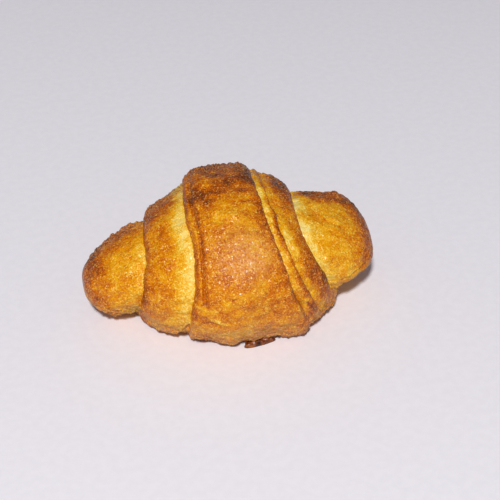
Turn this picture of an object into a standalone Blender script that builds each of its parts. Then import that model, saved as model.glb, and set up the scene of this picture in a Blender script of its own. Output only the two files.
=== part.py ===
"""A baked filled croissant, and the small pool of browned cheese that leaked out at its foot.

The croissant is a long triangle of laminated dough, rolled up from its base to its tip. Its
surface is worked out in roll coordinates: x runs along the roll, and theta runs round it in
degrees, 0 at the front (-Y), 90 on top, 180 at the back and 270 underneath. Phi is the angle
back along the dough from the tip: 0 to 360 is the outer turn, and 360 to 720 is the turn below
it, which shows on both sides of the outer one.
"""

import math

import bmesh
import bpy
import numpy as np
from mathutils import Vector, noise
from mathutils.bvhtree import BVHTree

# Whole roll, in metres
HALF_LENGTH = 0.0700
ENDS_BACK = 0.00413  # the ends lie this far behind the origin
BOW = 0.0037  # and the middle this far in front of the ends
AXIS_HEIGHT_MID = 0.0300
AXIS_HEIGHT_LEFT = 0.0185
AXIS_HEIGHT_RIGHT = 0.0193
AXIS_FALL_POWER = 1.6
WIDTH_STRETCH = 1.15  # the dough sags wider than it is high
TOP_STRETCH = 0.84
BOTTOM_STRETCH = 1.106
BOTTOM_STRETCH_RIGHT = 0.55  # the right end is lifted off the table
RIGHT_LIFT_FROM, RIGHT_LIFT_TO = 0.0415, 0.0545
BASE_ROUNDING = 0.0028
BASE_SINK = 0.0005

# Core that the two outer turns lie on
CORE_RADIUS_MID = 0.0267
CORE_RADIUS_LEFT = 0.0193
CORE_RADIUS_RIGHT = 0.0288
CORE_FALL_POWER = 1.5
CORE_END_POWER = 3.0

# Edges of the rolled triangle, by the angle phi
TIP_ANGLE = 280.0
TIP_RUN = 170.0
TIP_POWER = 0.6
TIP_FADE = 60.0
LEFT_START, LEFT_GROWTH = -0.0093, -0.0194
LEFT_SWAY, LEFT_SWAY_AT = 0.0024, 51.0
RIGHT_START, RIGHT_GROWTH = 0.0128, 0.0174
RIGHT_SWAY, RIGHT_SWAY_AT = 0.0114, 43.0
EDGE_WANDER = 0.0004
WANDER_SLOW, WANDER_QUICK = (0.6, 21.0), (0.4, 8.3)  # share, and degrees for one radian of wave

# Steps at the edges
INNER_THICK_LEFT, INNER_THICK_RIGHT, INNER_CROWN = 0.0036, 0.0042, 0.0072
OUTER_THICK, OUTER_CROWN = 0.0036, 0.0027
LIP_ROUND = 0.0020
CROWN_REACH = 0.0120
CREASE_DEPTH, CREASE_REACH = 0.0012, 0.0040

# Thin top layers that show as steps beside the outer turn's edges
PANEL_THICK, PANEL_ROUND = 0.0012, 0.0012
PANEL_INSET = 0.0042
PANEL_END_PHI, PANEL_CORNER_LEFT, PANEL_CORNER_RIGHT = 297.0, 0.0180, 0.0080
STRIP_THICK, STRIP_ROUND = 0.0014, 0.0016
STRIP_WIDTH_TOP, STRIP_WIDTH_FOOT = 0.0058, 0.0102
STRIP_TOP_PHI, STRIP_FOOT_PHI = 190.0, 330.0
DEGREE_OF_TURN = 0.00066  # mean length of one degree round the roll

# Soft bulges and hollows of this one: x, theta, height
BULGES = (
    (-0.062, -48, 0.0018),
    (-0.048, -36, -0.0027),
    (-0.032, -46, -0.0010),
    (-0.020, -42, -0.0018),
    (-0.010, -42, 0.0011),
    (0.006, -42, -0.0018),
    (0.026, -42, 0.0021),
    (0.040, -46, -0.0016),
    (0.052, -46, 0.0013),
    (-0.060, 142, 0.0011),
    (-0.045, 140, 0.0012),
    (-0.031, 138, -0.0004),
    (-0.0225, 128, -0.0022),
    (0.002, 134, -0.0010),
    (0.032, 136, -0.0012),
    (0.062, 124, 0.0042),
    (0.043, 116, 0.0009),
    (-0.054, 116, 0.0010),
    (0.066, 88, 0.0024),
    (0.000, 104, -0.0008),
    (-0.016, 120, 0.0022),
    (0.0225, 112, 0.0010),
)
BULGE_LENGTH, BULGE_ANGLE = 0.0075, 32.0
RELIEF_END_POWER = 6  # relief dies away towards the two ends

# Crags of the crust
LUMP_SIZE, LUMP_HEIGHT = 0.0130, 0.0009
CRAG_SIZE, CRAG_HEIGHT = 0.0052, 0.0007

# Mesh: rows round the roll, and columns in each stretch between two steps
ROWS = 74
UNDERSIDE_ANGLE, UNDERSIDE_THINNING, UNDERSIDE_SPREAD = 270, 0.55, 42.0
STRETCHES = (
    (13, 2.5, 1.2),  # columns, and how they crowd at the left and the right end
    (9, 2.0, 1.4),
    (5, 2.0, 1.3),
    (12, 1.6, 2.0),
    (6, 1.3, 1.8),
    (9, 1.3, 2.0),
    (12, 1.2, 2.5),
)
USUAL_SEAMS = (-0.037, -0.014, -0.010, 0.020, 0.026, 0.046)
SEAM_GAP = 0.0030
TIP_CLEAR, TIP_BLEND = 5.0, 18.0

# Leaked cheese
POOL_CENTRE = (0.0042, -0.0370)
POOL_LENGTH, POOL_DEPTH, POOL_HEIGHT = 0.0140, 0.0050, 0.0026
POOL_RIM_SHARE = 0.2  # of its height
POOL_GAP, POOL_THINNEST = 0.0003, 0.00015
POOL_SIDES, POOL_RINGS = 28, 5
POOL_LOBES = ((2, 0.10, 0.4), (3, 0.12, 1.9), (5, 0.06, 0.8))  # waves round it, size, start

# Finish: colour and roughness
CRUST_FINISH = (0.60, 0.24, 0.035), 0.45
CHEESE_FINISH = (0.20, 0.05, 0.012), 0.30


def clear_scene():
    for obj in list(bpy.data.objects):
        bpy.data.objects.remove(obj, do_unlink=True)


def wander(phi, start):
    """Slow unevenness of a cut edge, between about -1 and 1."""
    slow, quick = WANDER_SLOW, WANDER_QUICK
    return slow[0] * np.sin(phi / slow[1] + start) + quick[0] * np.sin(phi / quick[1] + 2 * start)


def turn_edges(phi):
    """Left and right edge of the dough at phi."""
    grow = np.clip(phi / TIP_RUN, 0, 1) ** TIP_POWER
    left = LEFT_START + LEFT_GROWTH * phi / 360
    left = left + LEFT_SWAY * np.cos(np.radians(phi - LEFT_SWAY_AT))
    right = RIGHT_START + RIGHT_GROWTH * phi / 360
    right = right + RIGHT_SWAY * np.cos(np.radians(phi - RIGHT_SWAY_AT))
    left = left + EDGE_WANDER * wander(phi, 0.3)
    right = right + EDGE_WANDER * wander(phi, 1.4)
    return left * grow, right * grow


def strip_edge(phi):
    """Right edge of the thin strip that lies between the outer turn and the broad band."""
    along = (phi - STRIP_TOP_PHI) / (STRIP_FOOT_PHI - STRIP_TOP_PHI)
    width = STRIP_WIDTH_TOP + (STRIP_WIDTH_FOOT - STRIP_WIDTH_TOP) * along
    return turn_edges(phi)[1] + np.maximum(width, 0) + EDGE_WANDER * wander(phi, 2.6)


def panel_left(phi):
    """Left edge of the raised panel on the outer turn."""
    return turn_edges(phi)[0] + PANEL_INSET + EDGE_WANDER * wander(phi, 4.0)


def panel_depth(x, phi):
    """Distance inside the edge of that panel, which is round at its lower corners."""
    foot = (PANEL_END_PHI - phi) * DEGREE_OF_TURN
    depth = foot
    sides = ((x - panel_left(phi), PANEL_CORNER_LEFT), (turn_edges(phi)[1] - x, PANEL_CORNER_RIGHT))
    for side, radius in sides:
        side_in, foot_in = np.minimum(side - radius, 0), np.minimum(foot - radius, 0)
        corner = radius - np.hypot(side_in, foot_in)
        depth = np.minimum(depth, np.where((side_in < 0) & (foot_in < 0), corner, side))
    return depth


def lip(depth, thick, rounding):
    """A rounded step: nothing outside the edge, the full thickness well inside it."""
    part = np.clip(depth / rounding, 0, 1)
    return thick * np.sqrt(1 - (1 - part) ** 2)


def crown(depth, height):
    return height * (1 - np.exp(-np.maximum(depth, 0) / CROWN_REACH))


def crease(depth):
    return -CREASE_DEPTH * np.exp(-np.maximum(-depth, 0) / CREASE_REACH) * (depth < 0)


def core_radius(x):
    end = np.abs(x) / HALF_LENGTH
    side = np.where(x < 0, CORE_RADIUS_LEFT, CORE_RADIUS_RIGHT)
    radius = CORE_RADIUS_MID + (side - CORE_RADIUS_MID) * end**CORE_FALL_POWER
    return radius * np.clip(1 - end**CORE_END_POWER, 0, 1) ** (1 / CORE_END_POWER)


def turn_heights(x, phi):
    """Height that the two outer turns and their thin layers add, phi being the outer turn's."""
    left, right = turn_edges(phi + 360)
    depth = np.minimum(x - left, right - x)
    thick = np.where(x < (left + right) / 2, INNER_THICK_LEFT, INNER_THICK_RIGHT)
    height = lip(depth, thick, LIP_ROUND) + crown(depth, INNER_CROWN) + crease(depth)

    left, right = turn_edges(phi)
    depth = np.minimum(x - left, right - x)
    shown = np.clip(phi / TIP_FADE, 0, 1)
    strip = lip(np.minimum(strip_edge(phi) - x, x - left), STRIP_THICK, STRIP_ROUND)
    panel = lip(panel_depth(x, phi), PANEL_THICK, PANEL_ROUND)
    right_share = np.clip((x - left) / np.maximum(right - left, SEAM_GAP), 0, 1)
    thick = OUTER_THICK - PANEL_THICK - STRIP_THICK * right_share
    outer = lip(depth, thick, LIP_ROUND) + crown(depth, OUTER_CROWN) + crease(depth)
    return height + shown * (outer + strip * right_share + panel)


def bulges(x, theta):
    height = 0 * x
    for at, angle, size in BULGES:
        turned = (theta - angle + 180) % 360 - 180
        away = ((x - at) / BULGE_LENGTH) ** 2 + (turned / BULGE_ANGLE) ** 2
        height = height + size * np.exp(-away)
    return height


def end_fade(x):
    """One along the roll, falling to nothing at its two ends."""
    return np.clip(1 - (np.abs(x) / HALF_LENGTH) ** RELIEF_END_POWER, 0, 1)


def crag(x, y, z, size):
    spots = np.stack([np.ravel(x), np.ravel(y), np.ravel(z)], axis=1) / size
    return np.reshape([noise.noise(Vector(spot)) for spot in spots], np.shape(x))


def smooth(value, low, high):
    """Nothing below low, one above high, and an even slope between."""
    part = np.clip((value - low) / (high - low), 0, 1)
    return part * part * (3 - 2 * part)


def place(x, theta, radius):
    """Depth and height of a point of the roll, with its two ends at depth zero."""
    turn = np.radians(theta)
    end = np.abs(x) / HALF_LENGTH
    end_height = np.where(x < 0, AXIS_HEIGHT_LEFT, AXIS_HEIGHT_RIGHT)
    axis_z = AXIS_HEIGHT_MID + (end_height - AXIS_HEIGHT_MID) * end**AXIS_FALL_POWER
    axis_y = -BOW * (1 - end**2)
    lifted = smooth(x, RIGHT_LIFT_FROM, RIGHT_LIFT_TO)
    below = BOTTOM_STRETCH + (BOTTOM_STRETCH_RIGHT - BOTTOM_STRETCH) * lifted
    stretch = np.where(np.sin(turn) > 0, TOP_STRETCH, below)
    y = axis_y - radius * WIDTH_STRETCH * np.cos(turn)
    z = axis_z + radius * stretch * np.sin(turn)
    z = 0.5 * (z + np.hypot(z, BASE_ROUNDING)) - BASE_SINK
    return y, np.maximum(z, 0)


def crust(x, theta):
    """World points of the croissant's surface."""
    phi = (TIP_ANGLE - theta) % 360
    radius = core_radius(x) + (turn_heights(x, phi) + bulges(x, theta)) * end_fade(x)
    y, z = place(x, theta, radius)
    rough = LUMP_HEIGHT * crag(x, y, z, LUMP_SIZE) + CRAG_HEIGHT * crag(x, y, z, CRAG_SIZE)
    y, z = place(x, theta, radius + rough * end_fade(x))
    return x, y + ENDS_BACK, z


def row_angles():
    """Angles of the rows, further apart under the roll."""
    places = np.arange(-90.0, 270.0)
    under = (places - UNDERSIDE_ANGLE + 180) % 360 - 180
    weights = 1 - UNDERSIDE_THINNING * np.exp(-((under / UNDERSIDE_SPREAD) ** 2))
    return np.interp(np.arange(ROWS) / ROWS, np.cumsum(weights) / weights.sum(), places)


def seam_places(theta):
    """The steps along one row from left to right, kept a little apart and steady past the tip."""
    phi = (TIP_ANGLE - theta) % 360
    left, right = turn_edges(phi)
    low_left, low_right = turn_edges(phi + 360)
    seams = (low_left, left, panel_left(phi), right, strip_edge(phi), low_right)
    near_tip = abs((theta - TIP_ANGLE + 180) % 360 - 180)
    follow = np.clip((near_tip - TIP_CLEAR) / TIP_BLEND, 0, 1)
    places = [-HALF_LENGTH]
    for seam, usual in zip(seams, USUAL_SEAMS):
        places.append(max(usual + (seam - usual) * follow, places[-1] + SEAM_GAP))
    return [*places, HALF_LENGTH]


def spread(count, start, end):
    """Shares of a stretch, crowded at its two ends by these powers."""
    part = np.arange(count) / count
    return part**start / (part**start + (1 - part) ** end)


def column_places(theta):
    """Places along one row, on every step and closest together beside it, without the two ends."""
    seams = seam_places(theta)
    stretches = zip(STRETCHES, seams, seams[1:])
    places = [near + (far - near) * spread(*how) for how, near, far in stretches]
    return np.concatenate(places)[1:]


def material(name, colour, roughness):
    made = bpy.data.materials.new(name)
    made.use_nodes = True
    shader = made.node_tree.nodes["Principled BSDF"]
    shader.inputs["Base Color"].default_value = (*colour, 1)
    shader.inputs["Roughness"].default_value = roughness
    shader.inputs["Metallic"].default_value = 0
    return made


def finish_object(name, mesh_builder, surface):
    """Object from a bmesh, triangulated and shaded smooth."""
    bmesh.ops.triangulate(mesh_builder, faces=mesh_builder.faces, quad_method="SHORT_EDGE")
    bmesh.ops.recalc_face_normals(mesh_builder, faces=mesh_builder.faces)
    mesh = bpy.data.meshes.new(name)
    mesh_builder.to_mesh(mesh)
    mesh_builder.free()
    mesh.shade_smooth()
    mesh.materials.append(surface)
    obj = bpy.data.objects.new(name, mesh)
    bpy.context.scene.collection.objects.link(obj)
    return obj


def rings_to_bmesh(rings):
    """Faces between neighbouring rings of points. Each ring is closed on itself."""
    builder = bmesh.new()
    loops = [[builder.verts.new(point) for point in ring] for ring in rings]
    for near, far in zip(loops, loops[1:]):
        for i in range(len(near)):
            j = (i + 1) % len(near)
            builder.faces.new((near[i], near[j], far[j], far[i]))
    return builder, loops


def close_end(builder, ring, point):
    tip = builder.verts.new(point)
    for i in range(len(ring)):
        builder.faces.new((ring[i], ring[(i + 1) % len(ring)], tip))


def build_croissant():
    thetas = row_angles()
    x = np.array([column_places(theta) for theta in thetas])
    theta_grid = np.repeat(thetas[:, None], x.shape[1], axis=1)
    points = np.stack(crust(x, theta_grid), axis=-1)
    builder, rings = rings_to_bmesh(np.swapaxes(points, 0, 1))
    for ring, end in ((rings[0], -HALF_LENGTH), (rings[-1], HALF_LENGTH)):
        y, z = place(np.array(end), np.array(0.0), np.array(0.0))
        close_end(builder, ring, (end, float(y) + ENDS_BACK, float(z)))
    return finish_object("croissant", builder, material("baked_crust", *CRUST_FINISH))


def pool_point(part, angle, crust_tree):
    """Point on top of the blob, this part of the way out from its centre."""
    outline = 1 + sum(size * math.sin(count * angle + start) for count, size, start in POOL_LOBES)
    x = POOL_CENTRE[0] + part * outline * POOL_LENGTH / 2 * math.cos(angle)
    y = POOL_CENTRE[1] + part * outline * POOL_DEPTH / 2 * math.sin(angle)
    dome = math.sqrt(max(1 - part**2, 0))
    height = POOL_HEIGHT * (POOL_RIM_SHARE + (1 - POOL_RIM_SHARE) * dome)
    above = crust_tree.ray_cast(Vector((x, y, -HALF_LENGTH)), Vector((0, 0, 1)))[0]
    if above is not None:
        height = max(min(height, above.z - POOL_GAP), POOL_THINNEST)
    return x, y, height


def build_browned_cheese(croissant):
    """A low blob on the table, pressed under the overhanging foot of the crust."""
    crust_tree = BVHTree.FromObject(croissant, bpy.context.evaluated_depsgraph_get())
    angles = [2 * math.pi * side / POOL_SIDES for side in range(POOL_SIDES)]
    parts = [step / POOL_RINGS for step in range(POOL_RINGS, 0, -1)]
    top_rings = [[pool_point(part, angle, crust_tree) for angle in angles] for part in parts]
    floor_ring = [(x, y, 0) for x, y, height in top_rings[0]]
    builder, loops = rings_to_bmesh([floor_ring, *top_rings])
    close_end(builder, loops[-1], pool_point(0, 0, crust_tree))
    builder.faces.new(loops[0])
    return finish_object("browned_cheese", builder, material("browned_cheese", *CHEESE_FINISH))


clear_scene()
build_browned_cheese(build_croissant())
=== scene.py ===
"""Looks of a baked filled croissant: its flaky egg-washed crust, the browned cheese that leaked
out at its foot, a pale floor, soft light and the camera.

The crust is worked out in roll coordinates: x runs along the roll, and theta runs round it in
degrees, 0 at the front (-Y), 90 on top, 180 at the back and 270 underneath. Phi is the angle back
along the dough from the tip: 0 to 360 is the outer turn, and 360 to 720 is the turn below it.
"""

import math

import bpy
import numpy as np
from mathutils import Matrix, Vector, noise
from mathutils.bvhtree import BVHTree


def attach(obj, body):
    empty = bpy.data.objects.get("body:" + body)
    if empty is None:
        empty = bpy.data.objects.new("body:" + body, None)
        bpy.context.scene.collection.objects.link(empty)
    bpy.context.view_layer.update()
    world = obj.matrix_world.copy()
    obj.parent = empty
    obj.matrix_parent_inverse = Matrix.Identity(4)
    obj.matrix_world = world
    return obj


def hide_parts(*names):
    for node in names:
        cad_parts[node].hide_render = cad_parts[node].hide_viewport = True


# Whole roll, in metres
HALF_LENGTH = 0.0700
ENDS_BACK = 0.00413
BOW = 0.0037
AXIS_HEIGHT_MID = 0.0300
AXIS_HEIGHT_LEFT = 0.0185
AXIS_HEIGHT_RIGHT = 0.0193
AXIS_FALL_POWER = 1.6
WIDTH_STRETCH = 1.15
TOP_STRETCH = 0.84
BOTTOM_STRETCH = 1.106
BASE_ROUNDING = 0.0028
BASE_SINK = 0.0005
RIM_LIFT, RIM_DEPTH, RIM_SPREAD = 0.0010, 0.0008, 0.0016  # the base curls up a little at its rim
BOTTOM_STRETCH_RIGHT, RIGHT_LIFT_FROM, RIGHT_LIFT_TO = 0.55, 0.0415, 0.0545

# Core that the two outer turns lie on
CORE_RADIUS_MID = 0.0267
CORE_RADIUS_LEFT = 0.0193
CORE_RADIUS_RIGHT = 0.0288
CORE_FALL_POWER = 1.5
CORE_END_POWER = 3.0

# Edges of the rolled triangle, by the angle phi
TIP_ANGLE = 280.0
TIP_RUN = 170.0
TIP_POWER = 0.6
TIP_FADE = 60.0
LEFT_START, LEFT_GROWTH = -0.0093, -0.0194
LEFT_SWAY, LEFT_SWAY_AT = 0.0024, 51.0
RIGHT_START, RIGHT_GROWTH = 0.0128, 0.0174
RIGHT_SWAY, RIGHT_SWAY_AT = 0.0114, 43.0
EDGE_WANDER = 0.0004
WANDER_SLOW, WANDER_QUICK = (0.6, 21.0), (0.4, 8.3)

# Waves of the edges: theta, shift in mm
WAVE_LEFT = ((-50, 0), (-5, -1), (32, 1.5), (50, 2), (74, 0), (108, 0.5), (130, 0))
WAVE_RIGHT = ((-50, 0), (-18, 2.5), (0, 0), (40, 1), (80, 0.5), (130, 0))
WAVE_PANEL = ((28, 0), (47, 1), (65, 0), (80, -0.5), (110, 0))
WAVE_STRIP = ((-50, 0), (0, -1), (25, -2), (45, -1), (53, -1.5), (67, 0), (75, -1.5), (130, 0))
WAVE_LOW_LEFT = ((-50, 0), (-10, -1), (50, 1), (96, 0), (130, 0))
WAVE_LOW_RIGHT = ((-30, 0), (8, 2), (35, 0.5), (74, 0), (96, 1), (130, 0))

# Steps at the edges
INNER_THICK_LEFT, INNER_THICK_RIGHT, INNER_CROWN = 0.0036, 0.0042, 0.0072
OUTER_THICK, OUTER_CROWN = 0.0036, 0.0027
LIP_ROUND = 0.0020
CROWN_REACH = 0.0120
CREASE_DEPTH, CREASE_REACH = 0.0009, 0.0040
OVERHANG = 0.0002  # how far a lip leans out over the crease below it
TOP_ROUNDER, TOP_ROUND_FROM, TOP_ROUND_TO = 1.3, 70.0, 100.0  # lips are rounder on top of the roll
FOOT_ROUNDER, FOOT_ROUND_FROM, FOOT_ROUND_TO = 1.2, 0, 25
LEAN_POWER, STRIP_LEAN = 0.7, 0.6
RAGGED = ((0.0060, 0.0004), (0.0019, 0.00035))  # size and depth of the raggedness of the edges

# Thin top layers
PANEL_THICK, PANEL_ROUND = 0.0012, 0.0012
PANEL_INSET = 0.0042
PANEL_SLACK = 0.0010
LEDGE_RIDGE, LEDGE_RIDGE_AT, LEDGE_RIDGE_SPREAD = 0.0005, 0.48, 0.16
LEDGE_GROOVE, LEDGE_GROOVE_AT, LEDGE_GROOVE_SPREAD = 0.0007, 0.88, 0.14
LEDGE_STARTS, LEDGE_STOPS = (0, 25), (100, 120)
NARROWEST = 0.001
PANEL_FADE_PHI, PANEL_FADE_X = (262, 284), (-0.016, -0.006)
PANEL_END_PHI, PANEL_CORNER_LEFT, PANEL_CORNER_RIGHT = 297.0, 0.0180, 0.0080
STRIP_THICK, STRIP_ROUND = 0.0014, 0.0016
STRIP_WIDTH_TOP, STRIP_WIDTH_FOOT = 0.0058, 0.0102
STRIP_TOP_PHI, STRIP_FOOT_PHI = 190.0, 330.0
DEGREE_OF_TURN = 0.00066
MM_OF_TURN = 1000 * DEGREE_OF_TURN

# Soft bulges and hollows: x, theta, height
BULGES = (
    # along the foot
    (-0.062, -48, 0.0018),
    (-0.048, -36, -0.0027),
    (-0.032, -46, -0.0010),
    (-0.020, -42, -0.0018),
    (-0.010, -42, 0.0011),
    (0.006, -42, -0.0018),
    (0.026, -42, 0.0021),
    (0.040, -46, -0.0016),
    (0.052, -46, 0.0013),
    # along the back and the top
    (-0.060, 142, 0.0011),
    (-0.045, 140, 0.0012),
    (-0.031, 138, -0.0004),
    (-0.0225, 128, -0.0022),
    (0.002, 134, -0.0010),
    (0.032, 136, -0.0012),
    (0.062, 124, 0.0042),
    (0.043, 116, 0.0009),
    (-0.054, 116, 0.0010),
    (0.066, 88, 0.0024),
    (0.000, 104, -0.0008),
    (-0.016, 120, 0.0022),
    (0.0225, 112, 0.0010),
)
BULGE_LENGTH, BULGE_ANGLE = 0.0075, 32.0
RELIEF_END_POWER = 6

# Crags, grain
LUMP_SIZE, LUMP_HEIGHT = 0.0130, 0.0009
CRAG_SIZE, CRAG_HEIGHT = 0.0052, 0.0007
GRAINS = ((0.0032, 0.00042), (0.0016, 0.00030))  # size and height of its blisters
CRUMBS = ((0.0042, 0.0006), (0.0018, 0.0012), (0.0010, 0.0005))  # the same where the crust is flaky
CRUMB_WEAR = 0.0006
END_SWELL, END_SWELL_X, END_SWELL_THETA = 0.0014, (0.040, 0.060), (-10, 20)
FLAKY_TOP, FLAKY_BACK, BACK_LESS_FLAKY = (98, 122), (150, 200), 0.5
FLAKY_FOOT, FLAKY_UNDER, FLAKY_ENDS = (8, 34), (-70, -50), (0.054, 0.066)
CRUMBLY_ENDS = 0.8
# shares of the dull pinkish brown: broken crust, and partly a painted sheen on the top and at the foot
DUST_AND_SHEEN_TOP, DUST_AND_SHEEN_FOOT, DUST_AND_SHEEN_ENDS = 0.8, 0.6, 0.06
CLEAN_TOP, CLEAN_TOP_X = 0.6, (0.016, 0.022)
ROUGH_END_POWER = 18

# Lines on the crust: points (x in mm, theta), half width in mm, height in mm, browning. The browning of a
# sunk line is partly painted shade in its crease, and the paler browning of a raised one partly a painted
# highlight on its ridge.
STROKES = (
    # flake edge on top of the left band
    (((-36, 126), (-31, 124), (-25, 116)), 0.7, -0.5, 0.25),
    (((-36, 121), (-31, 119), (-26, 111)), 0.9, 0.5, -0.05),
    # fold across the lower end of the strip
    (((17.6, 10), (20.2, 0), (24.0, -10), (25.4, -17), (23.9, -20), (20.5, -21)), 0.45, -0.6, 0.22),
    (((19.4, -3), (22.6, -10), (23.8, -16), (22.4, -19)), 0.6, 0.5, -0.12),
    # crumpled dough beside it: its creases painted darker as shade, and the end of a fold painted pale as
    # a highlight
    (((26.0, -5), (28.7, -11), (31.2, -17)), 0.7, -0.7, 0.24),
    (((27.0, -15), (29.8, -22)), 0.6, -0.5, 0.18),
    (((24.0, -2), (26.5, -4.5)), 0.8, 0.6, -0.12),
    # tear low on the panel, and the pale fold that it lies in
    (((-11.6, 11.5), (-9.9, 10.5), (-8.2, 11.5)), 0.5, -0.5, 0.30),
    (((-22, 1), (-16.5, 6), (-10.6, 10), (-4, 14), (3.3, 17)), 2.4, 0.25, -0.10),
    # pale flakes at the foot of the ledge
    (((-25.5, 7), (-22.4, 4), (-19.2, 1)), 1.3, 0.3, -0.22),
    (((-22.4, -1), (-18.8, -5), (-16.2, -6.5)), 0.9, 0.6, -0.22),
    (((-17.0, -6), (-14.6, -8.5), (-12.2, -9)), 0.6, 0.6, -0.28),
    (((-20.0, -9), (-16.4, -11), (-13.0, -14)), 0.6, -0.5, 0.10),
    # browned streaks across the top of the panel
    (((-17, 87), (-9, 86), (-1, 84), (6, 84)), 1.1, -0.1, 0.14),
    (((-13, 80), (-5, 80), (3, 78)), 0.8, 0.0, 0.08),
    (((-14, 92), (-6, 92), (2, 90)), 0.7, 0.0, -0.10),
    # two streaks down the ledge beside the panel
    (((-18.6, 92), (-18.2, 75), (-18.6, 55), (-19.4, 40)), 0.7, -0.2, 0.12),
    # wrinkles on the right lobe: ridges painted paler as highlights, grooves painted darker as shade
    (((43, 74), (48, 66), (53, 60)), 0.7, 0.40, -0.14),
    (((43, 69), (47, 61), (52, 55)), 0.7, -0.35, 0.12),
    (((46, 60), (51, 54), (57, 51)), 0.6, 0.40, -0.16),
    (((44, 54), (49, 47), (54, 44)), 0.7, -0.30, 0.10),
    (((43, 48), (48, 41), (53, 38)), 0.6, 0.35, -0.12),
    (((54, 74), (58, 66), (62, 62)), 0.7, -0.30, 0.10),
    (((57, 40), (61, 30), (62, 18)), 0.7, -0.3, 0.12),
    # flakes along the lower edge of the right lobe
    (((47, -9), (53, -3), (59, 3), (64, 13), (67, 24)), 0.6, -0.6, 0.16),
    (((49, -3), (55, 4), (61, 12), (65, 24)), 0.7, 0.5, -0.10),
    (((52, 6), (57, 12), (62, 20), (66, 34)), 0.6, -0.4, 0.08),
)

# Marks on the crust: x in mm, theta, half length in mm, half angle, height in mm, browning. For a few
# marks the browning is painted light or shade.
SPOTS = (
    # pale blister on top of the panel, the dark blotch below it, a crumb, and the browned corner
    (-11, 98, 4.6, 3.8, 0.6, -0.34),
    (-17, 91, 4.0, 5.5, -0.2, 0.22),
    (-4, 109, 1.2, 1.6, 0.7, -0.45),
    (9, 105, 5.5, 8.0, 0.1, 0.16),
    # browned band across the panel, and the pale patch below it
    (1, 88, 8.0, 6.0, 0.0, 0.18),
    (-9, 65, 6.0, 5.0, 0.1, -0.22),
    # browned lower corners of the panel, and its pale foot
    (-18, 11, 3.0, 8.0, 0.0, 0.16),
    (11, -8, 6.0, 9.0, 0.0, 0.14),
    (-4, -24, 11.0, 8.0, 0.0, -0.08),
    # speckled wedge right of the panel
    (19, 72, 3.0, 11.0, -0.3, 0.24),
    (17, 54, 2.0, 12.0, -0.3, 0.20),
    # browned top ends of the strip and of the ledge
    (26, 92, 3.0, 8.0, 0.0, 0.20),
    (-25, 96, 4.0, 12.0, 0.0, 0.20),
    # crumbs below the end of the strip
    (28, -14, 6.0, 8.0, 0.0, 0.16),
    # pit between two bands
    (-28, -25, 0.9, 1.6, -1.2, 0.40),
    # right lobe: browned top left, middle, lower left and end, and two pale patches
    (40, 118, 5.0, 9.0, 0.0, 0.45),
    (33, 74, 2.5, 8.0, 0.0, 0.20),
    (41, 5, 3.5, 8.0, 0.0, 0.24),
    (62, 68, 5.0, 22.0, 0.0, 0.16),
    (56, 106, 4.0, 8.0, 0.0, -0.18),
    (61, -4, 5.0, 9.0, 0.0, -0.16),
    # left lobe: pale end; pale foot, painted light where its underside turns into shade; and the dark
    # corner beside it, a painted shadow in the notch between lobe and band
    (-64, 30, 5.0, 26.0, 0.0, -0.26),
    (-49, -42, 7.0, 14.0, 0.0, -0.22),
    (-45, -52, 1.8, 9.0, 0.0, 0.35),
    # dark specks
    (10, 100, 0.9, 0.9, -0.3, 0.30),
    (4, 75, 1.7, 1.2, -0.2, 0.30),
    (7, 76, 1.0, 1.0, -0.2, 0.22),
    (-9, 43, 0.9, 0.8, -0.2, 0.25),
    (39, 92, 0.6, 0.9, -0.3, 0.40),
    (37, 74, 0.6, 0.8, -0.2, 0.30),
    (-47, 88, 0.5, 0.8, -0.2, 0.45),
)

# Waver of the outlines of lines and marks
MARK_WAVER_SIZE, STROKE_WAVER, SPOT_WAVER = 2.6, 0.0006, 0.45

# Browning of each region, from 0 for pale dough to 1 for dark brown, with a painted shadow line under the
# ledge's lip and a painted highlight at the panel's lower right corner
# A slope is how much it adds, where it starts and where it ends
# A ridge is how much it adds, its middle and its spread
LOBE_LEFT_LEVEL, LOBE_LEFT_SLOPES = 0.34, ((0.11, 0.001, 0.009), (0.08, 0.012, 0.028))
BAND_LEFT_LEVEL, BAND_LEFT_SLOPES = 0.14, ((0.40, 0.002, 0.011), (0.08, 0.010, 0.022))
# BAND_LEFT_INNER is a painted shadow: a thin dark line at the foot of the ledge's lip
BAND_LEFT_OUTER, BAND_LEFT_INNER = ((0.14, 0, 0.0014),), ((0.08, 0, 0.0009),)
LEDGE_LEVEL = 0.64
LEDGE_RIDGES = ((0.06, 0.10, 0.16), (-0.14, 0.52, 0.15), (-0.05, 0.92, 0.14))
PANEL_LEVEL, PANEL_OUTSIDE = 0.53, ((0.06, 0, 0.003),)
PANEL_LEFT_RIM, PANEL_RIGHT_RIM = ((0.10, 0, 0.0016),), ((0.15, 0, 0.0024),)
PANEL_SIDE, PANEL_SIDE_THETA = ((0.12, 0, 0.005),), (5, 25)
# CORNER_RIM is a painted highlight: a thin pale line along the lip at the panel's lower right corner
CORNER_RIM, CORNER_PHI, CORNER_X = ((-0.16, 0.0002, 0.0006),), (270, 282), (0.012, 0.018)
STRIP_LEVEL, STRIP_SLOPES, STRIP_RIM = 0.30, ((0.26, 0.30, 0.90),), ((0.14, 0, 0.0012),)
STRIP_TOP_SLOPE, STRIP_LOW_SLOPE = ((-0.12, 70, 88),), ((0.10, -40, -10),)
BAND_RIGHT_LEVEL, BAND_RIGHT_SLOPES = 0.27, ((0.30, 0.0015, 0.0065),)
BAND_RIGHT_LOW_SLOPE, BAND_RIGHT_RIM = ((0.18, -48, -12),), ((0.08, 0, 0.0035),)
LOBE_RIGHT_LEVEL, LOBE_RIGHT_SLOPES = 0.08, ((0.30, 0.002, 0.008), (0.08, 0.008, 0.022))

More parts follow.
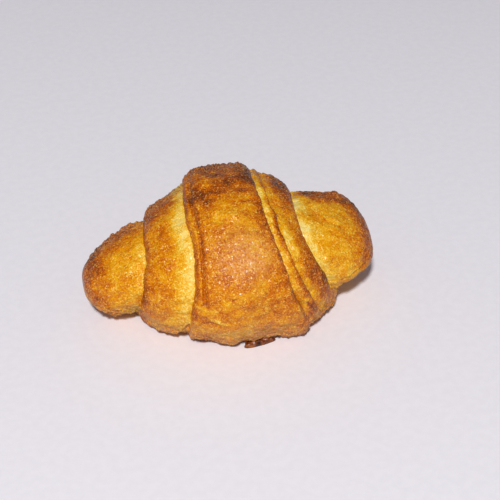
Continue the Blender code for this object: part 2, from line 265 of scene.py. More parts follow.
# Darker top of each region, from the left lobe to the right one: theta where it starts and ends, browning
TOP_FROM = (66, 84, 84, 82, 84, 80, 86)
TOP_TO = (112, 116, 104, 106, 110, 100, 104)
TOP_BROWNING = (0.24, 0.14, 0.14, 0.30, 0.16, 0.28, 0.34)
TOP_WAVER_BLOTCH, TOP_WAVER_MOTTLE = 14, 10
TOP_ABOVE, TOP_WITHIN = (-60, 0), (0.0005, 0.0060)
BACK_PALER, BACK_THETA = 0.8, (140, 200)
RECESS_LEVEL, RECESS_RANGE, RECESS_PALER = 0.45, 0.4, 0.45

# Ends, foot and sole. Near the floor the sole is darker: browned underside, and painted contact shade.
RIGHT_END, LEFT_END, END_WAVER = ((0.28, 0.056, 0.067),), ((0.26, 0.057, 0.069),), 0.006
FOOT_LEVEL, FOOT_SHARE, FOOT_BELOW, FOOT_ABOVE = 0.42, 0.6, (-2, 18), (-80, -55)
SOLE_AND_CONTACT_SHADE = ((0.40, -0.0036, -0.0008),)
TIP_BAKE, TIP_FLAKY = 0.8, 0.2

# Uneven browning: size and share of each kind
MOTTLE_SIZE, MOTTLE_SHARE = 0.0060, 0.09
BLOTCH_SIZE, BLOTCH_SHARE, BLOTCH_SHIFT = 0.0150, 0.09, 0.5
STREAK_SIZE, STREAK_SHARE, STREAK_STRETCH, STREAK_SHARPNESS = 0.0036, 0.05, 0.30, 4
STREAK_THETA, STREAK_DEPTH = (50, 80), (0, 0.002)
PATCHES, PATCH_SHARE = ((6, 0.0048), (4, 0.0019)), 0.055

# Painted sheen, a pale pinkish veil on the middle of the panel, along its foot and at the foot of the left
# band:
# share, middle and spread along x, middle and spread in theta
PAINTED_SHEENS = ((0.65, -0.002, 0.011, 38, 15), (0.38, 0.004, 0.026, -34, 20), (0.30, -0.036, 0.010, -44, 16))

# Mesh
ROWS = 340
UNDERSIDE_ANGLE, UNDERSIDE_THINNING, UNDERSIDE_SPREAD = 270, 0.70, 50.0
STRETCHES = (
    (52, 1.8, 1.2),
    (36, 1.7, 1.4),
    (20, 1.6, 1.3),
    (48, 1.5, 1.7),
    (26, 1.3, 1.7),
    (36, 1.3, 1.8),
    (48, 1.2, 1.8),
)
USUAL_SEAMS = (-0.037, -0.014, -0.010, 0.020, 0.026, 0.046)
SEAM_GAP = 0.0030
TIP_CLEAR, TIP_BLEND = 5.0, 18.0

# Leaked cheese
POOL_CENTRE = (0.0042, -0.0370)
POOL_LENGTH, POOL_DEPTH, POOL_HEIGHT = 0.0140, 0.0050, 0.0026
POOL_RIM_SHARE = 0.2
POOL_GAP, POOL_THINNEST = 0.0003, 0.00015
POOL_BUMP, POOL_BUMP_SIZE = 0.25, 0.0016
POOL_SIDES, POOL_RINGS = 120, 30
POOL_LOBES = ((2, 0.10, 0.4), (3, 0.12, 1.9), (5, 0.06, 0.8))

# Camera
CAMERA_TURN, CAMERA_RISE, CAMERA_AWAY = -14.4, 36.6, 0.65
LENS, SENSOR = 98.98, 36.0
AIM = (0.0, 0.00413, 0.033)
AIM_RIGHT, AIM_UP = 0.010497, -0.006383

# Light and floor
LIGHT_TURN, LIGHT_RISE, LIGHT_AWAY = -19, 51, 2.4
LIGHT_SIZE, LIGHT_POWER, LIGHT_COLOUR, LIGHT_AIM = 0.24, 49.0, (1.0, 0.985, 0.97), (0, 0, 0.02)
SKY_COLOUR, SKY_STRENGTH = (0.93, 0.92, 1.0, 1), 0.17
FLOOR_HALF = 3.0


def wander(phi, start):
    slow, quick = WANDER_SLOW, WANDER_QUICK
    return slow[0] * np.sin(phi / slow[1] + start) + quick[0] * np.sin(phi / quick[1] + 2 * start)


def plain_edges(phi):
    """Left and right edge of the dough at phi, without their waves."""
    grow = np.clip(phi / TIP_RUN, 0, 1) ** TIP_POWER
    left = LEFT_START + LEFT_GROWTH * phi / 360
    left = left + LEFT_SWAY * np.cos(np.radians(phi - LEFT_SWAY_AT))
    right = RIGHT_START + RIGHT_GROWTH * phi / 360
    right = right + RIGHT_SWAY * np.cos(np.radians(phi - RIGHT_SWAY_AT))
    left = left + EDGE_WANDER * wander(phi, 0.3)
    right = right + EDGE_WANDER * wander(phi, 1.4)
    return left * grow, right * grow


def wave(knots, phi):
    angles, shifts = zip(*knots)
    return 0.001 * np.interp((TIP_ANGLE - phi + 90) % 360 - 90, angles, shifts)


def turn_edges(phi):
    """Left and right edge of the dough at phi: of the outer turn up to 360, and then the one below it."""
    left, right = plain_edges(phi)
    left = left + np.where(phi < 360, wave(WAVE_LEFT, phi), wave(WAVE_LOW_LEFT, phi))
    return left, right + np.where(phi < 360, wave(WAVE_RIGHT, phi), wave(WAVE_LOW_RIGHT, phi))


def strip_edge(phi):
    along = (phi - STRIP_TOP_PHI) / (STRIP_FOOT_PHI - STRIP_TOP_PHI)
    width = STRIP_WIDTH_TOP + (STRIP_WIDTH_FOOT - STRIP_WIDTH_TOP) * along
    return plain_edges(phi)[1] + np.maximum(width, 0) + wave(WAVE_STRIP, phi)


def panel_left(phi):
    return plain_edges(phi)[0] + PANEL_INSET + wave(WAVE_PANEL, phi)


def panel_depth(x, phi):
    foot = (PANEL_END_PHI - phi) * DEGREE_OF_TURN
    depth = foot
    panel_right = np.minimum(turn_edges(phi)[1], plain_edges(phi)[1] + PANEL_SLACK)
    sides = ((x - panel_left(phi), PANEL_CORNER_LEFT), (panel_right - x, PANEL_CORNER_RIGHT))
    for side, radius in sides:
        side_in, foot_in = np.minimum(side - radius, 0), np.minimum(foot - radius, 0)
        corner = radius - np.hypot(side_in, foot_in)
        depth = np.minimum(depth, np.where((side_in < 0) & (foot_in < 0), corner, side))
    return depth


def lip(depth, thick, rounding):
    part = np.clip(depth / rounding, 0, 1)
    return thick * np.sqrt(1 - (1 - part) ** 2)


def crown(depth, height):
    return height * (1 - np.exp(-np.maximum(depth, 0) / CROWN_REACH))


def crease(depth):
    return -CREASE_DEPTH * np.exp(-np.maximum(-depth, 0) / CREASE_REACH) * (depth < 0)


def lean(depth, rounding):
    """Part of the overhang at this depth inside an edge: most of it half way up the lip."""
    return np.sin(math.pi * np.clip(depth / rounding, 0, 1) ** LEAN_POWER)


def core_radius(x):
    end = np.abs(x) / HALF_LENGTH
    side = np.where(x < 0, CORE_RADIUS_LEFT, CORE_RADIUS_RIGHT)
    radius = CORE_RADIUS_MID + (side - CORE_RADIUS_MID) * end**CORE_FALL_POWER
    return radius * np.clip(1 - end**CORE_END_POWER, 0, 1) ** (1 / CORE_END_POWER)


def ledge_share(x, phi):
    """Place across the ledge left of the panel, from 0 at its outer edge to 1 beside the panel."""
    left = turn_edges(phi)[0]
    return (x - left) / np.maximum(panel_left(phi) - left, NARROWEST)


def turn_heights(x, phi):
    """Height of the two outer turns with their thin layers, and the sideways lean of the lips."""
    theta = (TIP_ANGLE - phi + 90) % 360 - 90
    rounder = 1 + TOP_ROUNDER * smooth(theta, TOP_ROUND_FROM, TOP_ROUND_TO)
    rounder = rounder + FOOT_ROUNDER * smooth(-theta, FOOT_ROUND_FROM, FOOT_ROUND_TO)
    lip_round, strip_round, panel_round = LIP_ROUND * rounder, STRIP_ROUND * rounder, PANEL_ROUND * rounder
    left, right = turn_edges(phi + 360)
    depth = np.minimum(x - left, right - x)
    thick = np.where(x < (left + right) / 2, INNER_THICK_LEFT, INNER_THICK_RIGHT)
    height = lip(depth, thick, lip_round) + crown(depth, INNER_CROWN) + crease(depth)
    shift = lean(right - x, lip_round) - lean(x - left, lip_round)

    left, right = turn_edges(phi)
    depth = np.minimum(x - left, right - x)
    shown = np.clip(phi / TIP_FADE, 0, 1)
    strip = lip(np.minimum(strip_edge(phi) - x, x - left), STRIP_THICK, strip_round)
    panel = lip(panel_depth(x, phi), PANEL_THICK, panel_round)
    panel = panel * (1 - smooth(phi, *PANEL_FADE_PHI) * smooth(-x, *PANEL_FADE_X))
    right_share = np.clip((x - left) / np.maximum(right - left, SEAM_GAP), 0, 1)
    thick = OUTER_THICK - PANEL_THICK - STRIP_THICK * right_share
    outer = lip(depth, thick, lip_round) + crown(depth, OUTER_CROWN) + crease(depth)
    shift = shift + shown * (lean(right - x, lip_round) - lean(x - left, lip_round))
    shift = shift + STRIP_LEAN * shown * lean(strip_edge(phi) - x, strip_round)
    across = ledge_share(x, phi)
    ledge = LEDGE_RIDGE * near(across - LEDGE_RIDGE_AT, LEDGE_RIDGE_SPREAD)
    ledge = ledge - LEDGE_GROOVE * near(across - LEDGE_GROOVE_AT, LEDGE_GROOVE_SPREAD)
    ledge = ledge * smooth(theta, *LEDGE_STARTS) * (1 - smooth(theta, *LEDGE_STOPS))
    return height + shown * (outer + strip * right_share + panel + ledge), OVERHANG * shift


def bulges(x, theta):
    height = 0 * x
    for at, angle, size in BULGES:
        turned = (theta - angle + 180) % 360 - 180
        away = ((x - at) / BULGE_LENGTH) ** 2 + (turned / BULGE_ANGLE) ** 2
        height = height + size * np.exp(-away)
    return height


def end_fade(x):
    return np.clip(1 - (np.abs(x) / HALF_LENGTH) ** RELIEF_END_POWER, 0, 1)


def crag(x, y, z, size):
    spots = np.stack([np.ravel(x), np.ravel(y), np.ravel(z)], axis=1) / size
    return np.reshape([noise.noise(Vector(spot)) for spot in spots], np.shape(x))


def billow(x, y, z, size):
    """Blisters of about this size, from 0 in the creases between them."""
    return np.abs(crag(x, y, z, size)) * 2


def off_line(x, theta, points):
    """Distance in millimetres from the line through these points, measured on the crust."""
    least = np.full(np.shape(x), np.inf)
    turned = (theta - points[0][1] + 180) % 360 - 180 + points[0][1]
    for (x0, theta0), (x1, theta1) in zip(points, points[1:]):
        along = np.array([x1 - x0, (theta1 - theta0) * MM_OF_TURN])
        to = np.stack([1000 * x - x0, (turned - theta0) * MM_OF_TURN], axis=-1)
        part = np.clip(to @ along / (along @ along), 0, 1)
        least = np.minimum(least, np.linalg.norm(to - part[..., None] * along, axis=-1))
    return least


def marks(x, theta):
    """Height in metres, and browning, that the lines and spots add. Part of this browning is painted shade
    in creases and in a notch, and painted light on ridges and on the left lobe's foot.
    """
    height, baked = 0 * x, 0 * x
    ragged = crag(1000 * x, MM_OF_TURN * theta, 0 * x, MARK_WAVER_SIZE)
    x_off = x + STROKE_WAVER * ragged
    for points, width, high, brown in STROKES:
        share = near(off_line(x_off, theta, points), width)
        height, baked = height + 0.001 * high * share, baked + brown * share
    for at, angle, length, half_angle, high, brown in SPOTS:
        turned = (theta - angle + 180) % 360 - 180
        away = np.hypot((1000 * x - at) / length, turned / half_angle) + SPOT_WAVER * ragged
        share = near(np.maximum(away, 0), 1.0)
        height, baked = height + 0.001 * high * share, baked + brown * share
    return height, baked


def place(x, theta, radius):
    turn = np.radians(theta)
    end = np.abs(x) / HALF_LENGTH
    end_height = np.where(x < 0, AXIS_HEIGHT_LEFT, AXIS_HEIGHT_RIGHT)
    axis_z = AXIS_HEIGHT_MID + (end_height - AXIS_HEIGHT_MID) * end**AXIS_FALL_POWER
    axis_y = -BOW * (1 - end**2)
    lifted = smooth(x, RIGHT_LIFT_FROM, RIGHT_LIFT_TO)
    below = BOTTOM_STRETCH + (BOTTOM_STRETCH_RIGHT - BOTTOM_STRETCH) * lifted
    stretch = np.where(np.sin(turn) > 0, TOP_STRETCH, below)
    y = axis_y - radius * WIDTH_STRETCH * np.cos(turn)
    z = axis_z + radius * stretch * np.sin(turn)
    rim = RIM_LIFT * near(z + RIM_DEPTH, RIM_SPREAD)
    z = 0.5 * (z + np.hypot(z, BASE_ROUNDING)) - BASE_SINK + rim
    return y, np.maximum(z, 0)


def flaky(x, theta):
    """How much the crust has broken up into crumbs and flakes: on top, at the ends and at the foot."""
    top = smooth(theta, *FLAKY_TOP) * (1 - BACK_LESS_FLAKY * smooth(theta, *FLAKY_BACK))
    foot = smooth(-theta, *FLAKY_FOOT) * smooth(theta, *FLAKY_UNDER)
    ends = smooth(np.abs(x), *FLAKY_ENDS)
    return top, foot, ends


def crumbly(x, theta):
    top, foot, ends = flaky(x, theta)
    return np.clip(top + foot + CRUMBLY_ENDS * ends, 0, 1)


def dust_and_sheen(x, theta):
    """How much of the dull pinkish brown shows: broken crust, and partly a painted sheen on the top and at
    the foot.
    """
    top, foot, ends = flaky(x, theta)
    top = top * (1 - CLEAN_TOP * smooth(x, *CLEAN_TOP_X))
    return np.clip(DUST_AND_SHEEN_TOP * top + DUST_AND_SHEEN_FOOT * foot + DUST_AND_SHEEN_ENDS * ends, 0, 1)


def crust(x, theta):
    """World points of the croissant's surface, with its crags and grain."""
    phi = (TIP_ANGLE - theta) % 360
    height, shift = turn_heights(x, phi)
    fade = end_fade(x)
    for size, deep in RAGGED:
        shift = shift + deep * crag(x, MM_OF_TURN * theta / 1000, 0 * x, size)
    radius = core_radius(x) + (height + bulges(x, theta) + marks(x, theta)[0]) * fade
    y, z = place(x, theta, radius)
    rough = LUMP_HEIGHT * crag(x, y, z, LUMP_SIZE) + CRAG_HEIGHT * crag(x, y, z, CRAG_SIZE)
    for size, high in GRAINS:
        rough = rough + high * (billow(x, y, z, size) - 0.5)
    for size, high in CRUMBS:
        rough = rough + high * crumbly(x, theta) * crag(x, y, z, size)
    rough = rough - CRUMB_WEAR * crumbly(x, theta)
    rough = rough + END_SWELL * smooth(x, *END_SWELL_X) * smooth(theta, *END_SWELL_THETA)
    rough_fade = np.clip(1 - (np.abs(x) / HALF_LENGTH) ** ROUGH_END_POWER, 0, 1)
    y, z = place(x, theta, radius + rough * rough_fade)
    return x + shift * fade, y + ENDS_BACK, z


def smooth(value, low, high):
    """Zero below low, one above high, and an even slope between."""
    part = np.clip((value - low) / (high - low), 0, 1)
    return part * part * (3 - 2 * part)


def near(value, spread):
    return np.exp(-((value / spread) ** 2))


def slopes(value, steps):
    return sum(size * smooth(value, low, high) for size, low, high in steps)


def ridges(value, shapes):
    return sum(size * near(value - middle, spread) for size, middle, spread in shapes)


def by_region(regions, values):
    return np.select(regions, values[:-1], values[-1])



def region_levels(x, theta, phi, edges, depth):
    """Browning of each region at these places, from the left lobe to the right one, with a painted shadow
    line under the ledge's lip and a painted highlight at the panel's lower right corner.
    """
    low_left, left, panel_l, right, strip_r, low_right = edges
    lobe_left = LOBE_LEFT_LEVEL + slopes(low_left - x, LOBE_LEFT_SLOPES)
    band_left = BAND_LEFT_LEVEL + slopes(left - x, BAND_LEFT_SLOPES)
    # the inner ridge is a painted shadow line under the ledge's lip
    band_left = band_left + ridges(x - low_left, BAND_LEFT_OUTER) + ridges(left - x, BAND_LEFT_INNER)
    ledge = LEDGE_LEVEL + ridges(ledge_share(x, phi), LEDGE_RIDGES)
    panel = PANEL_LEVEL + ridges(x - panel_l, PANEL_LEFT_RIM) + ridges(right - x, PANEL_RIGHT_RIM)
    panel = panel + ridges(right - x, PANEL_SIDE) * smooth(theta, *PANEL_SIDE_THETA)
    panel = panel + slopes(-depth, PANEL_OUTSIDE)
    # painted highlight along the lip at the panel's lower right corner
    panel = panel + ridges(depth, CORNER_RIM) * smooth(phi, *CORNER_PHI) * smooth(x, *CORNER_X)
    across = (x - right) / np.maximum(strip_r - right, NARROWEST)
    strip = STRIP_LEVEL + slopes(across, STRIP_SLOPES) + ridges(strip_r - x, STRIP_RIM)
    strip = strip + slopes(theta, STRIP_TOP_SLOPE) + slopes(-theta, STRIP_LOW_SLOPE)
    band_right = BAND_RIGHT_LEVEL + slopes(x - strip_r, BAND_RIGHT_SLOPES)
    band_right = band_right + slopes(-theta, BAND_RIGHT_LOW_SLOPE) + ridges(low_right - x, BAND_RIGHT_RIM)
    lobe_right = LOBE_RIGHT_LEVEL + slopes(x - low_right, LOBE_RIGHT_SLOPES)
    return lobe_left, band_left, ledge, panel, strip, band_right, lobe_right


def browning_and_painted_light(x, theta, y, z):
    """How far the crust is baked, from 0 for pale dough to 1 for dark brown, with the light and shade
    painted into it: contact shade near the floor, and the painted shade and highlights of the regions and
    marks.
    """
    phi = (TIP_ANGLE - theta) % 360
    left, right = turn_edges(phi)
    low_left, low_right = turn_edges(phi + 360)
    edges = (low_left, left, panel_left(phi), right, strip_edge(phi), low_right)
    regions = [x < edge for edge in edges]
    depth = panel_depth(x, phi)
    mottle = crag(x, y, z, MOTTLE_SIZE)
    blotch = crag(x + BLOTCH_SHIFT, y, z, BLOTCH_SIZE)
    level = by_region(regions, region_levels(x, theta, phi, edges, depth))

    recess = np.clip((RECESS_LEVEL - level) / RECESS_RANGE, 0, 1)
    turned = theta + TOP_WAVER_BLOTCH * blotch + TOP_WAVER_MOTTLE * mottle
    top = smooth(turned, by_region(regions, TOP_FROM), by_region(regions, TOP_TO))
    top = top * (1 - BACK_PALER * smooth(turned, *BACK_THETA)) * smooth(theta, *TOP_ABOVE)
    top = top * smooth(HALF_LENGTH - np.abs(x), *TOP_WITHIN)
    level = level + top * (1 - RECESS_PALER * recess) * by_region(regions, TOP_BROWNING)
    waver = END_WAVER * blotch
    level = level + slopes(x + waver, RIGHT_END) + slopes(-x + waver, LEFT_END)
    foot = smooth(-theta, *FOOT_BELOW) * smooth(theta, *FOOT_ABOVE)
    level = level + FOOT_SHARE * foot * (FOOT_LEVEL - level)
    # darker near the floor: browned underside, and painted contact shade
    level = level + slopes(-z, SOLE_AND_CONTACT_SHADE)

    streaks = np.tanh(STREAK_SHARPNESS * crag(STREAK_STRETCH * x, y, z, STREAK_SIZE))
    streaks = streaks * smooth(turned, *STREAK_THETA) * smooth(depth, *STREAK_DEPTH)
    patches = np.tanh(sum(sharpness * crag(x, y, z, size) for sharpness, size in PATCHES))
    level = level + MOTTLE_SHARE * mottle + BLOTCH_SHARE * blotch
    level = level + STREAK_SHARE * streaks + PATCH_SHARE * patches + marks(x, theta)[1]
    return np.clip(level, 0, 1)


def painted_sheen(x, theta):
    """How much painted sheen lies on the crust, as a pale pinkish veil: on the middle of the panel and
    along the foot.
    """
    painted_sheens = [
        share * near(x - at, length) * near(theta - angle, spread)
        for share, at, length, angle, spread in PAINTED_SHEENS
    ]
    return np.clip(sum(painted_sheens), 0, 1)


def row_angles():
    places = np.arange(-90.0, 270.0)
    under = (places - UNDERSIDE_ANGLE + 180) % 360 - 180
    weights = 1 - UNDERSIDE_THINNING * np.exp(-((under / UNDERSIDE_SPREAD) ** 2))
    return np.interp(np.arange(ROWS) / ROWS, np.cumsum(weights) / weights.sum(), places)


def seam_places(theta):
    phi = (TIP_ANGLE - theta) % 360
    left, right = turn_edges(phi)
    low_left, low_right = turn_edges(phi + 360)
    seams = (low_left, left, panel_left(phi), right, strip_edge(phi), low_right)
    near_tip = abs((theta - TIP_ANGLE + 180) % 360 - 180)
    follow = np.clip((near_tip - TIP_CLEAR) / TIP_BLEND, 0, 1)
    places = [-HALF_LENGTH]
    for seam, usual in zip(seams, USUAL_SEAMS):
        places.append(max(usual + (seam - usual) * follow, places[-1] + SEAM_GAP))
    return [*places, HALF_LENGTH]


def spread(count, start, end):
    part = np.arange(count) / count
    return part**start / (part**start + (1 - part) ** end)


def column_places(theta):
    seams = seam_places(theta)
    stretches = zip(STRETCHES, seams, seams[1:])
    places = [low + (high - low) * spread(*how) for how, low, high in stretches]
    return np.concatenate(places)[1:]


def mesh_object(name, points, faces, surface, values=None):
    """Smooth object from points and faces, with one number for each point under each name."""
    mesh = bpy.data.meshes.new(name)
    mesh.from_pydata([tuple(point) for point in points], [], faces)
    mesh.validate()
    for key, numbers in (values or {}).items():
        attribute = mesh.attributes.new(key, "FLOAT", "POINT")
        attribute.data.foreach_set("value", np.asarray(numbers, np.float32).ravel())
    mesh.shade_smooth()
    mesh.materials.append(surface)
    obj = bpy.data.objects.new(name, mesh)
    bpy.context.scene.collection.objects.link(obj)
    return obj


def ring_faces(rings, sides, first, last):
    """Faces of rings of points, closed at both ends by the points numbered first and last."""
    faces = []
    for ring in range(rings - 1):
        for side in range(sides):
            after = (side + 1) % sides
            low, high = ring * sides, (ring + 1) * sides
            faces.append((low + side, high + side, high + after, low + after))
    for side in range(sides):
        after = (side + 1) % sides
        if first is not None:
            faces.append((first, side, after))
        high = (rings - 1) * sides
        faces.append((last, high + after, high + side))
    return faces


def srgb(*colour):
    """Linear colour from one given in 0 to 255 as a screen shows it."""
    shares = [part / 255 for part in colour]
    return [part / 12.92 if part <= 0.04045 else ((part + 0.055) / 1.055) ** 2.4 for part in shares] + [1]


class Nodes:
    """Short ways to add nodes to one material."""

    def __init__(self, name):
        self.material = bpy.data.materials.new(name)
        self.material.use_nodes = True
        self.tree = self.material.node_tree
        self.shader = self.tree.nodes["Principled BSDF"]
        self.object = self.tree.nodes.new("ShaderNodeTexCoord").outputs["Object"]

    def link(self, source, socket):
        if isinstance(source, bpy.types.NodeSocket):
            self.tree.links.new(source, socket)
        else:
            socket.default_value = source

    def attribute(self, name):
        node = self.tree.nodes.new("ShaderNodeAttribute")
        node.attribute_name = name
        return node.outputs["Fac"]

    def noise(self, size, detail=2.0, rough=0.5, distortion=0.0):
        """Noise from 0 to 1 whose features are about this many metres."""
        node = self.tree.nodes.new("ShaderNodeTexNoise")
        self.link(self.object, node.inputs["Vector"])
        node.inputs["Scale"].default_value = 1 / size
        node.inputs["Detail"].default_value = detail
        node.inputs["Roughness"].default_value = rough
        node.inputs["Distortion"].default_value = distortion
        return node.outputs["Fac"]

    def math(self, operation, first, second=0.0, third=0.0):
        node = self.tree.nodes.new("ShaderNodeMath")
        node.operation = operation
        for source, socket in zip((first, second, third), node.inputs):
            self.link(source, socket)
        return node.outputs[0]

    def ramp(self, source, stops):
        node = self.tree.nodes.new("ShaderNodeValToRGB")
        self.link(source, node.inputs["Fac"])
        elements = node.color_ramp.elements
        while len(elements) < len(stops):
            elements.new(0.5)
        for element, (at, colour) in zip(elements, stops):
            element.position = at
            element.color = colour
        return node.outputs["Color"]

    def mix(self, share, first, second):
        node = self.tree.nodes.new("ShaderNodeMix")
        node.data_type = "RGBA"
        self.link(share, node.inputs["Factor"])
        self.link(first, node.inputs[6])
        self.link(second, node.inputs[7])
        return node.outputs[2]

    def range(self, source, low, high, to_low, to_high):
        node = self.tree.nodes.new("ShaderNodeMapRange")
        self.link(source, node.inputs["Value"])
        for value, socket in zip((low, high, to_low, to_high), list(node.inputs)[1:5]):
            socket.default_value = value
        return node.outputs["Result"]

    def bump(self, height, distance, strength=1.0, under=None):
        node = self.tree.nodes.new("ShaderNodeBump")
        self.link(height, node.inputs["Height"])
        node.inputs["Distance"].default_value = distance
        node.inputs["Strength"].default_value = strength
        if under is not None:
            self.link(under, node.inputs["Normal"])
        return node.outputs["Normal"]


BAKE_COLOURS = (
    (0.00, srgb(246, 222, 138)),
    (0.15, srgb(242, 200, 76)),
    (0.32, srgb(231, 165, 12)),
    (0.50, srgb(216, 132, 0)),
    (0.64, srgb(195, 99, 0)),
    (0.78, srgb(160, 72, 0)),
    (0.90, srgb(128, 59, 14)),
    (1.00, srgb(98, 48, 24)),
)
# dull pinkish brown of broken crust, partly a painted sheen on the top and foot
CRUMB_AND_SHEEN_COLOUR = srgb(204, 148, 104)
SPECK_COLOUR = srgb(66, 34, 24)
# pale pinkish colour of the painted sheen
PAINTED_SHEEN_COLOUR = srgb(232, 176, 132)
# pale cream of the painted glints
PAINTED_GLINT_COLOUR = srgb(255, 230, 132)


def crust_material():
    nodes = Nodes("baked_crust")
    level = nodes.attribute("bake_and_painted_light")
    dust_and_sheen_share = nodes.attribute("flaky")
    for size, share in ((0.0022, 0.14), (0.0011, 0.20), (0.00055, 0.44)):
        grain = nodes.noise(size, 0.0, 0.5)
        level = nodes.math("MULTIPLY_ADD", nodes.math("SUBTRACT", grain, 0.5), share, level)
    # painted glints: sparse pale cream flecks, paler and creamier, that stand in for highlights off the
    # glaze
    painted_glints = nodes.range(nodes.noise(0.00075, 0.0, 0.5, 0.8), 0.58, 0.71, 0.0, 1.0)
    where = nodes.range(nodes.noise(0.0036, 1.0), 0.38, 0.62, 0.35, 1.0)
    painted_glints = nodes.math("MULTIPLY", painted_glints, where)
    level = nodes.math("MULTIPLY_ADD", painted_glints, -0.18, level)
    colour = nodes.ramp(level, BAKE_COLOURS)
    colour = nodes.mix(nodes.math("MULTIPLY", painted_glints, 0.32), colour, PAINTED_GLINT_COLOUR)
    # dull pinkish brown where the crust is flaky: crumbs, and partly a painted sheen on the top and foot
    crumbs = nodes.range(nodes.noise(0.0008, 1.0), 0.46, 0.58, 0.0, 0.85)
    colour = nodes.mix(nodes.math("MULTIPLY", crumbs, dust_and_sheen_share), colour, CRUMB_AND_SHEEN_COLOUR)
    specks = nodes.range(nodes.noise(0.0007, 0.0, 0.5, 0.6), 0.56, 0.66, 0.0, 0.75)
    colour = nodes.mix(nodes.math("MULTIPLY", specks, dust_and_sheen_share), colour, SPECK_COLOUR)
    # painted sheen: a speckled pale pinkish veil
    sheen_speckle = nodes.range(nodes.noise(0.0010, 2.0, 0.6), 0.40, 0.62, 0.15, 0.90)
    colour = nodes.mix(nodes.math("MULTIPLY", sheen_speckle, nodes.attribute("painted_sheen")), colour, PAINTED_SHEEN_COLOUR)
    nodes.link(colour, nodes.shader.inputs["Base Color"])
    rough = nodes.noise(0.0022, 3.0)
    nodes.link(nodes.range(rough, 0.3, 0.7, 0.30, 0.46), nodes.shader.inputs["Roughness"])
    fine = nodes.bump(nodes.noise(0.0010, 1.0, 0.5), 0.00025, 1.0)
    coarse = nodes.bump(nodes.noise(0.0024, 1.0, 0.5), 0.00020, 1.0, fine)
    nodes.link(coarse, nodes.shader.inputs["Normal"])
    glints = nodes.bump(nodes.noise(0.0010, 0.0), 0.00050, 1.0)
    nodes.shader.inputs["Specular IOR Level"].default_value = 0.0
    nodes.shader.inputs["Coat Weight"].default_value = 0.65
    nodes.shader.inputs["Coat IOR"].default_value = 1.38
    nodes.shader.inputs["Coat Roughness"].default_value = 0.17
    nodes.link(glints, nodes.shader.inputs["Coat Normal"])
    nodes.shader.inputs["Subsurface Weight"].default_value = 0.20
    nodes.shader.inputs["Subsurface Radius"].default_value = (1.0, 0.42, 0.12)
    nodes.shader.inputs["Subsurface Scale"].default_value = 0.0015
    return nodes.material


def cheese_material():
    nodes = Nodes("browned_cheese")
    grain = nodes.noise(0.0020, 3.0, 0.6)
    stops = ((0.30, srgb(48, 20, 10)), (0.50, srgb(112, 54, 20)), (0.70, srgb(172, 100, 36)))
    nodes.link(nodes.ramp(grain, stops), nodes.shader.inputs["Base Color"])
    nodes.link(nodes.range(grain, 0.3, 0.7, 0.28, 0.45), nodes.shader.inputs["Roughness"])
    nodes.link(nodes.bump(nodes.noise(0.0012, 2.0), 0.00025, 0.8), nodes.shader.inputs["Normal"])
    return nodes.material


def floor_material():
    nodes = Nodes("pale_card")
    grain = nodes.noise(0.004, 2.0)
    stops = ((0.35, srgb(241, 239, 246)), (0.65, srgb(244, 242, 249)))
    nodes.link(nodes.ramp(grain, stops), nodes.shader.inputs["Base Color"])
    nodes.shader.inputs["Roughness"].default_value = 0.85
    nodes.shader.inputs["Specular IOR Level"].default_value = 0.1
    return nodes.material


def build_crust():
    thetas = row_angles()
    x = np.array([column_places(theta) for theta in thetas])
    theta_grid = np.repeat(thetas[:, None], x.shape[1], axis=1)
    points = np.stack(crust(x, theta_grid), axis=-1)
    bake_and_painted_light = browning_and_painted_light(x, theta_grid, points[..., 1], points[..., 2])
    columns = np.swapaxes(points, 0, 1).reshape(-1, 3)
    bake_and_painted_light = np.swapaxes(bake_and_painted_light, 0, 1).ravel()
    # the flaky attribute holds the dull brown of broken crust, partly a painted sheen
    flakes = np.swapaxes(dust_and_sheen(x, theta_grid), 0, 1).ravel()
    ends = []
    for end in (-HALF_LENGTH, HALF_LENGTH):
        y, z = place(np.array(end), np.array(0.0), np.array(0.0))
        ends.append((end, float(y) + ENDS_BACK, float(z)))
    count = len(columns)
    faces = ring_faces(x.shape[1], ROWS, count, count + 1)
    all_points = np.concatenate([columns, ends])
    # shares of the painted sheen
    painted_sheens = np.swapaxes(painted_sheen(x, theta_grid), 0, 1).ravel()
    values = {
        "bake_and_painted_light": np.concatenate([bake_and_painted_light, [TIP_BAKE, TIP_BAKE]]),
        "flaky": np.concatenate([flakes, [TIP_FLAKY, TIP_FLAKY]]),
        "painted_sheen": np.concatenate([painted_sheens, [0, 0]]),
    }
    return mesh_object("crust", all_points, faces, crust_material(), values)


def pool_point(part, angle, crust_tree):
    outline = 1 + sum(size * math.sin(count * angle + start) for count, size, start in POOL_LOBES)
    x = POOL_CENTRE[0] + part * outline * POOL_LENGTH / 2 * math.cos(angle)
    y = POOL_CENTRE[1] + part * outline * POOL_DEPTH / 2 * math.sin(angle)
    dome = math.sqrt(max(1 - part**2, 0))
    height = POOL_HEIGHT * (POOL_RIM_SHARE + (1 - POOL_RIM_SHARE) * dome)
    height = height * (1 + POOL_BUMP * noise.noise(Vector((x, y, 0)) / POOL_BUMP_SIZE))
    above = crust_tree.ray_cast(Vector((x, y, -HALF_LENGTH)), Vector((0, 0, 1)))[0]
    if above is not None:
        height = max(min(height, above.z - POOL_GAP), POOL_THINNEST)
    return x, y, height


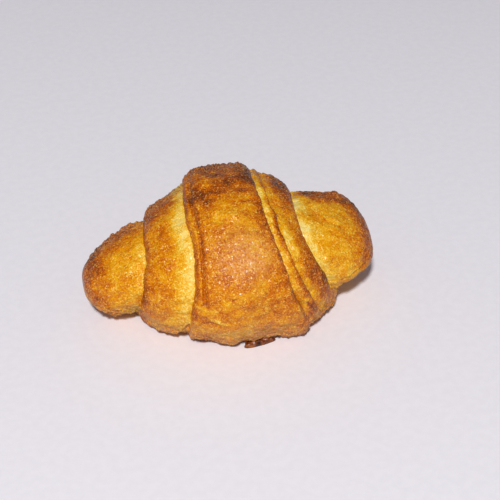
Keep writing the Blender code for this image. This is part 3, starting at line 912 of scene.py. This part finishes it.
def build_cheese(crust_obj):
    tree = BVHTree.FromObject(crust_obj, bpy.context.evaluated_depsgraph_get())
    angles = [2 * math.pi * side / POOL_SIDES for side in range(POOL_SIDES)]
    parts = [step / POOL_RINGS for step in range(POOL_RINGS, 0, -1)]
    rings = [[pool_point(part, angle, tree) for angle in angles] for part in parts]
    points = [(x, y, 0) for x, y, height in rings[0]]
    for ring in rings:
        points.extend(ring)
    floor_middle, top_middle = len(points), len(points) + 1
    points.append((*POOL_CENTRE, 0))
    points.append(pool_point(0, 0, tree))
    faces = ring_faces(POOL_RINGS + 1, POOL_SIDES, floor_middle, top_middle)
    return mesh_object("leaked_cheese", points, faces, cheese_material())


def build_floor():
    half = FLOOR_HALF
    corners = [(-half, -half, 0), (half, -half, 0), (half, half, 0), (-half, half, 0)]
    return mesh_object("floor", corners, [(0, 1, 2, 3)], floor_material())


def aim_at(obj, point):
    obj.rotation_mode = "QUATERNION"
    obj.rotation_quaternion = (obj.location - Vector(point)).to_track_quat("Z", "Y")


def add_light(name, place_at, size, power, colour):
    data = bpy.data.lights.new(name, "AREA")
    data.shape = "DISK"
    data.size = size
    data.energy = power
    data.color = colour
    obj = bpy.data.objects.new(name, data)
    obj.location = place_at
    aim_at(obj, LIGHT_AIM)
    bpy.context.scene.collection.objects.link(obj)


def direction(turn, rise):
    turn, rise = math.radians(turn), math.radians(rise)
    return Vector((math.sin(turn) * math.cos(rise), -math.cos(turn) * math.cos(rise), math.sin(rise)))


def add_camera():
    back = direction(CAMERA_TURN, CAMERA_RISE)
    right = direction(CAMERA_TURN + 90, 0)
    up = back.cross(right)
    data = bpy.data.cameras.new("camera")
    data.sensor_width = SENSOR
    data.lens = LENS
    obj = bpy.data.objects.new("camera", data)
    obj.location = Vector(AIM) + right * AIM_RIGHT + up * AIM_UP + back * CAMERA_AWAY
    obj.rotation_mode = "QUATERNION"
    obj.rotation_quaternion = back.to_track_quat("Z", "Y")
    bpy.context.scene.collection.objects.link(obj)
    bpy.context.scene.camera = obj


def add_world():
    world = bpy.data.worlds.new("studio")
    world.use_nodes = True
    background = world.node_tree.nodes["Background"]
    background.inputs["Color"].default_value = SKY_COLOUR
    background.inputs["Strength"].default_value = SKY_STRENGTH
    bpy.context.scene.world = world


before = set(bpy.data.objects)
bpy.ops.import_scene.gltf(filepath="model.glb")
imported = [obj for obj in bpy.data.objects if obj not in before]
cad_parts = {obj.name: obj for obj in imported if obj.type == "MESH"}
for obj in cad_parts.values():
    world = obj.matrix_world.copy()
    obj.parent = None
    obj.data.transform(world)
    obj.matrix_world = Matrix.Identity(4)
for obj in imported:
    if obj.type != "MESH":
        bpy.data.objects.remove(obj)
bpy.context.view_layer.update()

crust_piece = build_crust()
cheese_piece = build_cheese(crust_piece)
floor = build_floor()
for piece, node, finish in (
    (crust_piece, "croissant", "baked_crust"),
    (cheese_piece, "browned_cheese", "browned_cheese"),
):
    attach(piece, "root")
    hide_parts(node)

light_at = direction(LIGHT_TURN, LIGHT_RISE) * LIGHT_AWAY
add_light("key", light_at, LIGHT_SIZE, LIGHT_POWER, LIGHT_COLOUR)
add_camera()
add_world()
bpy.context.scene.view_settings.view_transform = "Standard"
